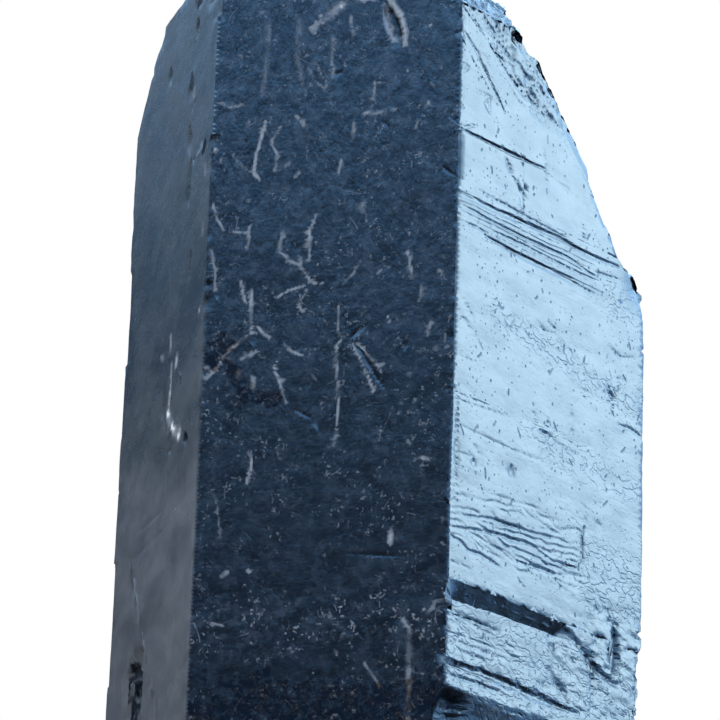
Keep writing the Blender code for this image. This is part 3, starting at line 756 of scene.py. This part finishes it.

# The mineral: opaque, almost black with a blue cast, and glassy where it is clean. Fine level striations and
# small pits break its reflections. Dust lies in worn streaks, specks and bands; grime and painted shade lie
# in its hollows and along its ledges; a pale film, partly painted sheen, lightens the lower left face.


def add(tree, kind, **settings):
    node = tree.nodes.new(kind)
    for name, value in settings.items():
        setattr(node, name, value)
    return node


def wire(tree, source, node, socket):
    if isinstance(source, (int, float, tuple)):
        node.inputs[socket].default_value = source
    else:
        tree.links.new(source, node.inputs[socket])


def maths(tree, operation, *values, clamp=False):
    node = add(tree, "ShaderNodeMath", operation=operation, use_clamp=clamp)
    for index, value in enumerate(values):
        wire(tree, value, node, index)
    return node.outputs[0]


def vector_maths(tree, operation, *values):
    node = add(tree, "ShaderNodeVectorMath", operation=operation)
    for index, value in enumerate(values):
        wire(tree, value, node, index)
    return node.outputs[0]


def ramp(tree, value, low, high, to_low=0.0, to_high=1.0):
    node = add(tree, "ShaderNodeMapRange", interpolation_type="SMOOTHSTEP")
    for socket, part in zip(range(5), (value, low, high, to_low, to_high)):
        wire(tree, part, node, socket)
    return node.outputs[0]


def stretched(tree, scale):
    """Object coordinates in millimetres, stretched."""
    place = add(tree, "ShaderNodeTexCoord").outputs["Object"]
    return vector_maths(tree, "MULTIPLY", place, tuple(s / MM for s in scale))


def cloud(tree, vector, scale=1.0, detail=2.0, rough=0.5):
    node = add(tree, "ShaderNodeTexNoise")
    for socket, value in (("Vector", vector), ("Scale", scale), ("Detail", detail), ("Roughness", rough)):
        wire(tree, value, node, socket)
    return node.outputs["Fac"]


def attribute(tree, name, output="Fac"):
    return add(tree, "ShaderNodeAttribute", attribute_name=name).outputs[output]


def blend(tree, factor, first, second):
    node = add(tree, "ShaderNodeMix", data_type="RGBA")
    for socket, value in ((0, factor), (6, first), (7, second)):
        wire(tree, value, node, socket)
    return node.outputs[2]


def marks(tree, cell, half_length, half_width, curl, spin, chance, offset=0.0):
    """Short curved marks scattered over the faces, one or none in each cell, 0 to 1. Sizes are in cells."""
    on_face = attribute(tree, "face_place", "Vector")
    place = vector_maths(tree, "MULTIPLY_ADD", on_face, (1 / cell,) * 3, (offset,) * 3)
    found = add(tree, "ShaderNodeTexVoronoi", voronoi_dimensions="2D")
    wire(tree, place, found, "Vector")
    wire(tree, 1.0, found, "Scale")
    luck = add(tree, "ShaderNodeSeparateColor")
    wire(tree, found.outputs["Color"], luck, 0)
    turn = add(tree, "ShaderNodeVectorRotate", rotation_type="Z_AXIS")
    wire(tree, vector_maths(tree, "SUBTRACT", place, found.outputs["Position"]), turn, "Vector")
    leaning = maths(tree, "SUBTRACT", luck.outputs[0], 0.5)
    wire(tree, maths(tree, "MULTIPLY", leaning, 2 * spin), turn, "Angle")
    axes = add(tree, "ShaderNodeSeparateXYZ")
    wire(tree, turn.outputs[0], axes, 0)
    along, aside = axes.outputs[1], axes.outputs[0]
    curve = maths(tree, "SUBTRACT", luck.outputs[1], 0.5)
    bow = maths(tree, "MULTIPLY", maths(tree, "MULTIPLY", along, along), curve)
    aside = maths(tree, "MULTIPLY_ADD", bow, curl, aside)
    reach = maths(tree, "MULTIPLY_ADD", luck.outputs[2], half_length * 0.7, half_length * 0.3)
    ends = ramp(tree, maths(tree, "SUBTRACT", reach, maths(tree, "ABSOLUTE", along)), 0.0, half_width * 1.5)
    sides = ramp(tree, maths(tree, "SUBTRACT", half_width, maths(tree, "ABSOLUTE", aside)), 0.0, half_width)
    picked = maths(tree, "FRACT", maths(tree, "MULTIPLY", luck.outputs[0], 7.31))
    fainter = ramp(tree, picked, 0.0, chance, 1.0, 0.35)
    there = maths(tree, "MULTIPLY", maths(tree, "LESS_THAN", picked, chance), fainter)
    return maths(tree, "MULTIPLY", maths(tree, "MULTIPLY", ends, sides), there)


def most(tree, first, *others):
    for other in others:
        first = maths(tree, "MAXIMUM", first, other)
    return first


DEEP_BLUE = (0.0015, 0.0028, 0.0055, 1.0)
SLATE = (0.0030, 0.0050, 0.0090, 1.0)
DUST = (0.17, 0.19, 0.22, 1.0)
LINT = (0.27, 0.31, 0.36, 1.0)
BONE = (0.50, 0.52, 0.56, 1.0)
BLOOM = (0.040, 0.068, 0.105, 1.0)
TAN = (0.16, 0.145, 0.13, 1.0)
# Near-black grime colours, partly dirt and partly painted shade.
DIRT_AND_SHADE = (0.0012, 0.0016, 0.0022, 1.0)
RUST_AND_SHADE = (0.0034, 0.0030, 0.0030, 1.0)
# The film's grey, partly a dusty film and partly painted sheen on the lower left face.
FILM_AND_SHEEN = (0.070, 0.077, 0.086, 1.0)


def mineral():
    material = bpy.data.materials.new("tourmaline")
    material.use_nodes = True
    tree = material.node_tree
    shader = tree.nodes["Principled BSDF"]
    shader.inputs["IOR"].default_value = 1.63
    pitted, dusty, grime_and_shade = (attribute(tree, name) for name in ("pitted", "dusty", "grime_and_shade"))
    scuffed, film_and_sheen, lined = (attribute(tree, name) for name in ("scuffed", "film_and_sheen", "lined"))
    mottled = attribute(tree, "mottled")

    # pits and short cuts in the surface
    patchy = cloud(tree, stretched(tree, (0.30, 0.30, 0.42)), detail=3.0)
    more = ramp(tree, patchy, 0.40, 0.60)
    pits = most(
        tree,
        maths(tree, "MULTIPLY", marks(tree, 0.42, 0.24, 0.17, 1.0, 0.9, 0.70), more),
        marks(tree, 0.85, 0.22, 0.11, 1.5, 0.7, 0.42, offset=3.7),
        marks(tree, 1.70, 0.26, 0.060, 2.0, 0.8, 0.34, offset=8.1),
    )
    pits = maths(tree, "MULTIPLY", pits, pitted)
    crinkled = attribute(tree, "crinkled")
    folds = cloud(tree, stretched(tree, (1.1, 1.1, 1.7)), detail=1.6, rough=0.55)
    folds = ramp(tree, maths(tree, "ABSOLUTE", maths(tree, "SUBTRACT", folds, 0.5)), 0.0, 0.07, 1.0, 0.0)
    crumbs = cloud(tree, stretched(tree, (2.6, 2.6, 4.2)), detail=2.5, rough=0.6)
    folds = maths(tree, "MULTIPLY", maths(tree, "ADD", folds, crumbs), crinkled)

    # fine level striations over soft waves
    fine = cloud(tree, stretched(tree, (0.25, 0.25, 5.0)), detail=4.0, rough=0.6)
    wavy = cloud(tree, stretched(tree, (0.5, 0.5, 0.9)), detail=4.0, rough=0.55)
    blotchy = cloud(tree, stretched(tree, (1.6, 1.6, 1.8)), detail=3.5, rough=0.62)
    height = maths(tree, "MULTIPLY", maths(tree, "MULTIPLY", ramp(tree, fine, 0.35, 0.65), 0.16), lined)
    height = maths(tree, "MULTIPLY_ADD", wavy, maths(tree, "MULTIPLY_ADD", mottled, -0.50, 0.50), height)
    dimples = cloud(tree, stretched(tree, (1.9, 1.9, 0.65)), detail=3.5, rough=0.62)
    height = maths(tree, "MULTIPLY_ADD", maths(tree, "MULTIPLY", dimples, mottled), 1.3, height)
    height = maths(tree, "MULTIPLY_ADD", blotchy, 0.22, height)
    height = maths(tree, "MULTIPLY_ADD", folds, -0.36, height)
    height = maths(tree, "MULTIPLY_ADD", pits, -0.62, height)

    # dust: a mottled bloom, ragged flecks where they gather, and a few short fibres
    bloom = cloud(tree, stretched(tree, (1.15, 1.15, 1.15)), detail=6.0, rough=0.74)
    bloom = maths(tree, "MULTIPLY", ramp(tree, bloom, 0.46, 0.62, 0.0, 0.27), mottled)
    clumps = ramp(tree, cloud(tree, stretched(tree, (0.55, 0.55, 0.55)), detail=3.0), 0.40, 0.62, 0.12, 1.0)
    specked = cloud(tree, stretched(tree, (3.4, 3.4, 3.4)), detail=3.0, rough=0.62)
    flecks = ramp(tree, specked, 0.585, 0.70, 0.0, 0.42)
    fibres = most(
        tree,
        maths(tree, "MULTIPLY", marks(tree, 1.0, 0.34, 0.060, 3.0, 3.14, 0.30, offset=5.9), 0.28),
        maths(tree, "MULTIPLY", marks(tree, 2.1, 0.38, 0.030, 2.5, 3.14, 0.45, offset=2.2), 0.28),
        maths(tree, "MULTIPLY", marks(tree, 1.1, 0.12, 0.10, 0.0, 3.14, 0.14, offset=9.4), 0.55),
    )
    clumped = maths(tree, "MULTIPLY", most(tree, flecks, fibres), clumps)
    dust = maths(tree, "MULTIPLY", clumped, dusty, clamp=True)

    tint = cloud(tree, stretched(tree, (0.5, 0.5, 0.3)), detail=4.0)
    brown = ramp(tree, cloud(tree, stretched(tree, (1.9, 1.9, 1.9)), detail=4.0), 0.50, 0.60)
    frayed = ramp(tree, cloud(tree, stretched(tree, (4.0, 4.0, 4.0)), detail=3.0), 0.25, 0.60, 0.55, 1.0)
    colour = blend(tree, ramp(tree, tint, 0.35, 0.7), DEEP_BLUE, SLATE)
    # A pale film on the left face, partly dust film and partly painted sheen that lightens its lower part.
    colour = blend(tree, film_and_sheen, colour, FILM_AND_SHEEN)
    colour = blend(tree, bloom, colour, BLOOM)
    patches = cloud(tree, stretched(tree, (1.5, 1.5, 1.5)), detail=4.0, rough=0.6)
    ragged = maths(tree, "MULTIPLY_ADD", patches, 1.4, maths(tree, "SUBTRACT", grime_and_shade, 0.92))
    grime_and_shade = maths(tree, "MULTIPLY", ramp(tree, ragged, 0.30, 0.60), ramp(tree, grime_and_shade, 0.0, 0.2))
    # Near-black grime, partly dirt and partly painted shade in hollows and on downward-facing ledges.
    colour = blend(tree, grime_and_shade, colour, blend(tree, brown, DIRT_AND_SHADE, RUST_AND_SHADE))
    colour = blend(tree, dust, colour, DUST)
    hairs = cloud(tree, stretched(tree, (1.1, 1.1, 1.3)), detail=3.0, rough=0.6)
    hairs = ramp(tree, maths(tree, "ABSOLUTE", maths(tree, "SUBTRACT", hairs, 0.5)), 0.0, 0.012, 0.24, 0.0)
    hairs = maths(tree, "MULTIPLY", maths(tree, "MULTIPLY", hairs, grime_and_shade), ramp(tree, patches, 0.45, 0.55))
    colour = blend(tree, hairs, colour, TAN)
    lint = maths(tree, "MULTIPLY", scuffed, frayed)
    whiter = blend(tree, ramp(tree, scuffed, 0.62, 0.90), LINT, BONE)
    colour = blend(tree, lint, colour, blend(tree, grime_and_shade, whiter, TAN))
    wire(tree, colour, shader, "Base Color")
    # The same mask dims the reflection there: painted shade on the ledges and in the hollows.
    mirrors = blend(tree, grime_and_shade, (1.0, 1.0, 1.0, 1.0), (0.16, 0.20, 0.28, 1.0))
    wire(tree, mirrors, shader, "Specular Tint")

    gloss = ramp(tree, wavy, 0.3, 0.7, 0.17, 0.26)
    gloss = maths(tree, "MULTIPLY_ADD", pits, 0.3, gloss)
    gloss = maths(tree, "MULTIPLY_ADD", most(tree, dust, lint), 0.6, gloss)
    gloss = maths(tree, "MULTIPLY_ADD", film_and_sheen, 0.25, gloss)
    gloss = maths(tree, "MULTIPLY_ADD", grime_and_shade, 0.30, gloss, clamp=True)
    wire(tree, gloss, shader, "Roughness")

    bump = add(tree, "ShaderNodeBump")
    bump.inputs["Strength"].default_value = 1.0
    bump.inputs["Distance"].default_value = 0.04 * MM
    wire(tree, height, bump, "Height")
    wire(tree, bump.outputs[0], shader, "Normal")
    return material


crystal.data.materials.append(mineral())


def put_attribute(name, values):
    crystal.data.attributes.new(name, "FLOAT", "POINT").data.foreach_set("value", values.astype(np.float32))


def crinkled_bands(across, up):
    """The slanting bands of the bright face where its skin is finely crinkled."""
    middle = np.exp(-(((up - 32.1 + 0.14 * across) / 0.8) ** 2)) * smooth(across, 2.0, 4.0)
    lower = np.exp(-(((up - 25.6 + 0.08 * across) / 0.9) ** 2)) * smooth(across, 5.0, 9.0)
    beside_steps = window(up, 15.5, 20.0, 0.6) * smooth(across, 11.0, 13.0)
    knob = window(up, 35.0, 37.4, 0.5) * smooth(across, 13.5, 15.0)
    foot = 0.7 * (1 - smooth(up, 12.0, 14.0))
    return np.clip(0.12 + middle + 0.8 * lower + 0.8 * beside_steps + 0.8 * knob + foot, 0, 1)


nearest = under[:, :12].argmin(1)
pitted, dusty = np.full(count, 0.5), np.full(count, 0.45)
grime_and_shade, scuffed, film_and_sheen = np.zeros(count), np.zeros(count), np.zeros(count)
lined, crinkled, mottled = np.full(count, 0.7), np.full(count, 0.1), np.full(count, 0.35)
for plane in range(12):
    mine = nearest == plane
    across, up = across_and_up(points[mine], plane)
    if plane < 6:
        scuffed[mine] = scuff_strength(FACES[plane], across, up)
        grime_and_shade[mine] = grime_and_shade_strength(FACES[plane], across, up)
    if plane == RIGHT:
        pitted[mine] = 1.0
        dusty[mine] = 0.04
        lined[mine] = 0.15 + 0.4 * window(up, 34.0, 40.0, 1.5)
        mottled[mine] = 0.0
        crinkled[mine] = crinkled_bands(across, up)
    elif plane == FRONT:
        pitted[mine] = 0.2
        settled = layered_noise(95, across * 0.5, up * 0.8)
        band = window(up + 0.6 * settled, 10.6, 13.2, 0.7)
        dusty[mine] = 0.70 + 0.95 * band + 0.30 * settled
        mottled[mine] = 0.45 + 0.45 * smooth(up, 14.0, 46.0) + 0.35 * band
        # The front face darkens towards its foot through the same near-black mask.
        darker_foot = 0.80 * (1 - smooth(up + 2.4 * settled, 8.0, 11.0))
        grime_and_shade[mine] = np.maximum(grime_and_shade[mine], darker_foot)
        lined[mine] = 0.02
    elif plane == LEFT:
        pitted[mine] = 0.3
        dusty[mine] = 0.45
        uneven = 0.30 * layered_noise(91, across * 0.22, up * 0.40)
        uneven = uneven + 0.22 * layered_noise(92, across * 0.8, up * 1.6)
        # The film is partly painted sheen: stronger towards the foot, it lightens the lower face where its
        # reflection falls off.
        film_and_sheen[mine] = np.clip(0.18 + 0.54 * (1 - smooth(up, 17.0, 36.0)) + 1.0 * uneven, 0, 1)
        lined[mine] = 0.1
for name, values in (
    ("pitted", pitted),
    ("dusty", dusty),
    ("grime_and_shade", grime_and_shade),
    ("scuffed", scuffed),
    ("film_and_sheen", film_and_sheen),
    ("lined", lined),
    ("crinkled", crinkled),
    ("mottled", mottled),
):
    put_attribute(name, values)

place = np.zeros((len(corners), 3), np.float32)
corner_owner = np.repeat(owner, 3)
for plane in range(12):
    mine = corner_owner == plane
    across, up = across_and_up(points[corners[mine]], plane)
    steep = 1 / math.cos(POINT_SLOPE) if plane >= 6 else 1.0
    place[mine] = np.stack([across + 40 * plane, up * steep, np.zeros(len(up))], axis=1)
crystal.data.attributes.new("face_place", "FLOAT_VECTOR", "CORNER").data.foreach_set("vector", place.ravel())

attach(crystal, "root")
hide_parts(NODE)

# The room. A pale table that is only seen from above, a soft studio with panels that the faces mirror,
# soft lamps for what is dusty, and the camera, which looks up at the crystal from a little below its foot.

bpy.context.scene.view_settings.view_transform = "Standard"

TABLE_SIZE = 3.0


def table_top():
    bm = bmesh.new()
    bmesh.ops.create_grid(bm, x_segments=8, y_segments=8, size=TABLE_SIZE / 2)
    table_mesh = bpy.data.meshes.new("table_top")
    bm.to_mesh(table_mesh)
    bm.free()
    top = bpy.data.objects.new("table_top", table_mesh)
    bpy.context.scene.collection.objects.link(top)
    material = bpy.data.materials.new("pale_table")
    material.use_nodes = True
    tree = material.node_tree
    shader = tree.nodes["Principled BSDF"]
    shader.inputs["Base Color"].default_value = (0.82, 0.82, 0.82, 1.0)
    shader.inputs["Roughness"].default_value = 0.9
    clear = add(tree, "ShaderNodeBsdfTransparent")
    either = add(tree, "ShaderNodeMixShader")
    wire(tree, add(tree, "ShaderNodeNewGeometry").outputs["Backfacing"], either, 0)
    tree.links.new(shader.outputs[0], either.inputs[1])
    tree.links.new(clear.outputs[0], either.inputs[2])
    tree.links.new(either.outputs[0], tree.nodes["Material Output"].inputs["Surface"])
    table_mesh.materials.append(material)
    top.visible_glossy = False


table_top()


def aim(azimuth, elevation):
    a, e = math.radians(azimuth), math.radians(elevation)
    return (math.sin(a) * math.cos(e), -math.cos(a) * math.cos(e), math.sin(e))


def sine(degrees):
    return math.sin(math.radians(degrees))


def panel(tree, direction, azimuth, half_width, soft, low, low_edge, high, high_edge, colour, strength):
    """A softbox in the sky: its bearing, half width and heights, in degrees, and its brightness."""
    split = add(tree, "ShaderNodeSeparateXYZ")
    wire(tree, direction, split, 0)
    level = vector_maths(tree, "MULTIPLY", direction, (1.0, 1.0, 0.0))
    toward = add(tree, "ShaderNodeVectorMath", operation="DOT_PRODUCT")
    wire(tree, vector_maths(tree, "NORMALIZE", level), toward, 0)
    wire(tree, aim(azimuth, 0.0), toward, 1)
    wide, narrow = math.cos(math.radians(half_width + soft)), math.cos(math.radians(half_width - soft))
    sideways = ramp(tree, toward.outputs["Value"], wide, narrow)
    rising = ramp(tree, split.outputs[2], sine(low - low_edge), sine(low + low_edge))
    falling = ramp(tree, split.outputs[2], sine(high - high_edge), sine(min(high + high_edge, 90)), 1.0, 0.0)
    amount = maths(tree, "MULTIPLY", maths(tree, "MULTIPLY", rising, falling), sideways)
    lit = add(tree, "ShaderNodeVectorMath", operation="SCALE")
    wire(tree, colour, lit, 0)
    wire(tree, maths(tree, "MULTIPLY", amount, strength), lit, "Scale")
    return lit.outputs[0]


# Each panel: bearing, half width, its softness, lower edge, softness, upper edge, softness, colour, strength.
PANELS = (
    (99.0, 26.0, 17.0, 11.0, 11.0, 46.0, 16.0, (0.62, 0.89, 1.00), 4.7),
    (107.0, 9.0, 9.0, 15.0, 8.0, 32.0, 8.0, (0.70, 0.88, 1.00), 4.0),
    (107.0, 72.0, 18.0, -15.0, 9.0, 78.0, 10.0, (0.22, 0.52, 1.00), 2.6),
    (152.0, 32.0, 14.0, 30.0, 12.0, 76.0, 12.0, (0.50, 0.76, 1.00), 2.0),
    (107.0, 60.0, 20.0, -70.0, 15.0, -6.0, 12.0, (0.30, 0.50, 0.80), 0.07),
    (-10.0, 60.0, 20.0, 26.8, 8.0, 62.0, 20.0, (0.20, 0.51, 1.00), 3.6),
    (-132.0, 45.0, 16.0, 25.5, 7.0, 60.0, 20.0, (0.36, 0.64, 1.00), 1.25),
    (170.0, 30.0, 12.0, 10.0, 10.0, 60.0, 16.0, (0.45, 0.70, 1.00), 1.4),
    (150.0, 168.0, 10.0, 68.0, 12.0, 89.0, 1.0, (0.36, 0.62, 1.00), 1.2),
)
GLOOM = (0.040, 0.062, 0.100)


def studio_sky():
    world = bpy.data.worlds.new("studio")
    bpy.context.scene.world = world
    world.use_nodes = True
    world.cycles_visibility.diffuse = False
    tree = world.node_tree
    direction = add(tree, "ShaderNodeTexCoord").outputs["Generated"]
    total = GLOOM
    for settings in PANELS:
        total = vector_maths(tree, "ADD", panel(tree, direction, *settings), total)
    sees = add(tree, "ShaderNodeLightPath").outputs["Is Camera Ray"]
    tree.links.new(blend(tree, sees, total, (1.0, 1.0, 1.0, 1.0)), tree.nodes["Background"].inputs["Color"])


studio_sky()


def softbox(name, azimuth, elevation, distance, size, energy):
    """A lamp that lights dust and the table but isn't mirrored by the crystal."""
    light = bpy.data.lights.new(name, "AREA")
    light.shape = "DISK"
    light.size = size
    light.energy = energy
    lamp = bpy.data.objects.new(name, light)
    toward = Vector(aim(azimuth, elevation))
    turn = toward.to_track_quat("Z", "Y").to_matrix().to_4x4()
    lamp.matrix_world = Matrix.Translation(toward * distance) @ turn
    lamp.visible_camera = False
    lamp.visible_glossy = False
    bpy.context.scene.collection.objects.link(lamp)


softbox("front_softbox", -15.0, 25.0, 1.0, 0.6, 9.0)
softbox("left_softbox", -100.0, 20.0, 1.0, 0.6, 5.0)
softbox("right_softbox", 80.0, 30.0, 1.0, 0.6, 5.0)
softbox("back_softbox", 180.0, 35.0, 1.0, 0.6, 6.0)
softbox("overhead_softbox", 0.0, 88.0, 1.1, 1.2, 10.0)

VIEW_AZIMUTH = 11.99
VIEW_ELEVATION = -21.12
VIEW_ROLL = 1.94
VIEW_DISTANCE = 256.3 * MM
LOOKS_AT = (1.91 * MM, -13.94 * MM, 27.79 * MM)
LENS = 220.0


def photographer():
    camera_data = bpy.data.cameras.new("camera")
    camera_data.lens = LENS
    camera_data.sensor_width = 36.0
    camera_data.clip_start = 0.01
    camera = bpy.data.objects.new("camera", camera_data)
    bpy.context.scene.collection.objects.link(camera)
    back = Vector(aim(VIEW_AZIMUTH, VIEW_ELEVATION))
    turn = (-back).to_track_quat("-Z", "Y").to_matrix()
    roll = Matrix.Rotation(math.radians(VIEW_ROLL), 3, "Z")
    camera.matrix_world = Matrix.Translation(Vector(LOOKS_AT) + back * VIEW_DISTANCE) @ (turn @ roll).to_4x4()
    bpy.context.scene.camera = camera


photographer()
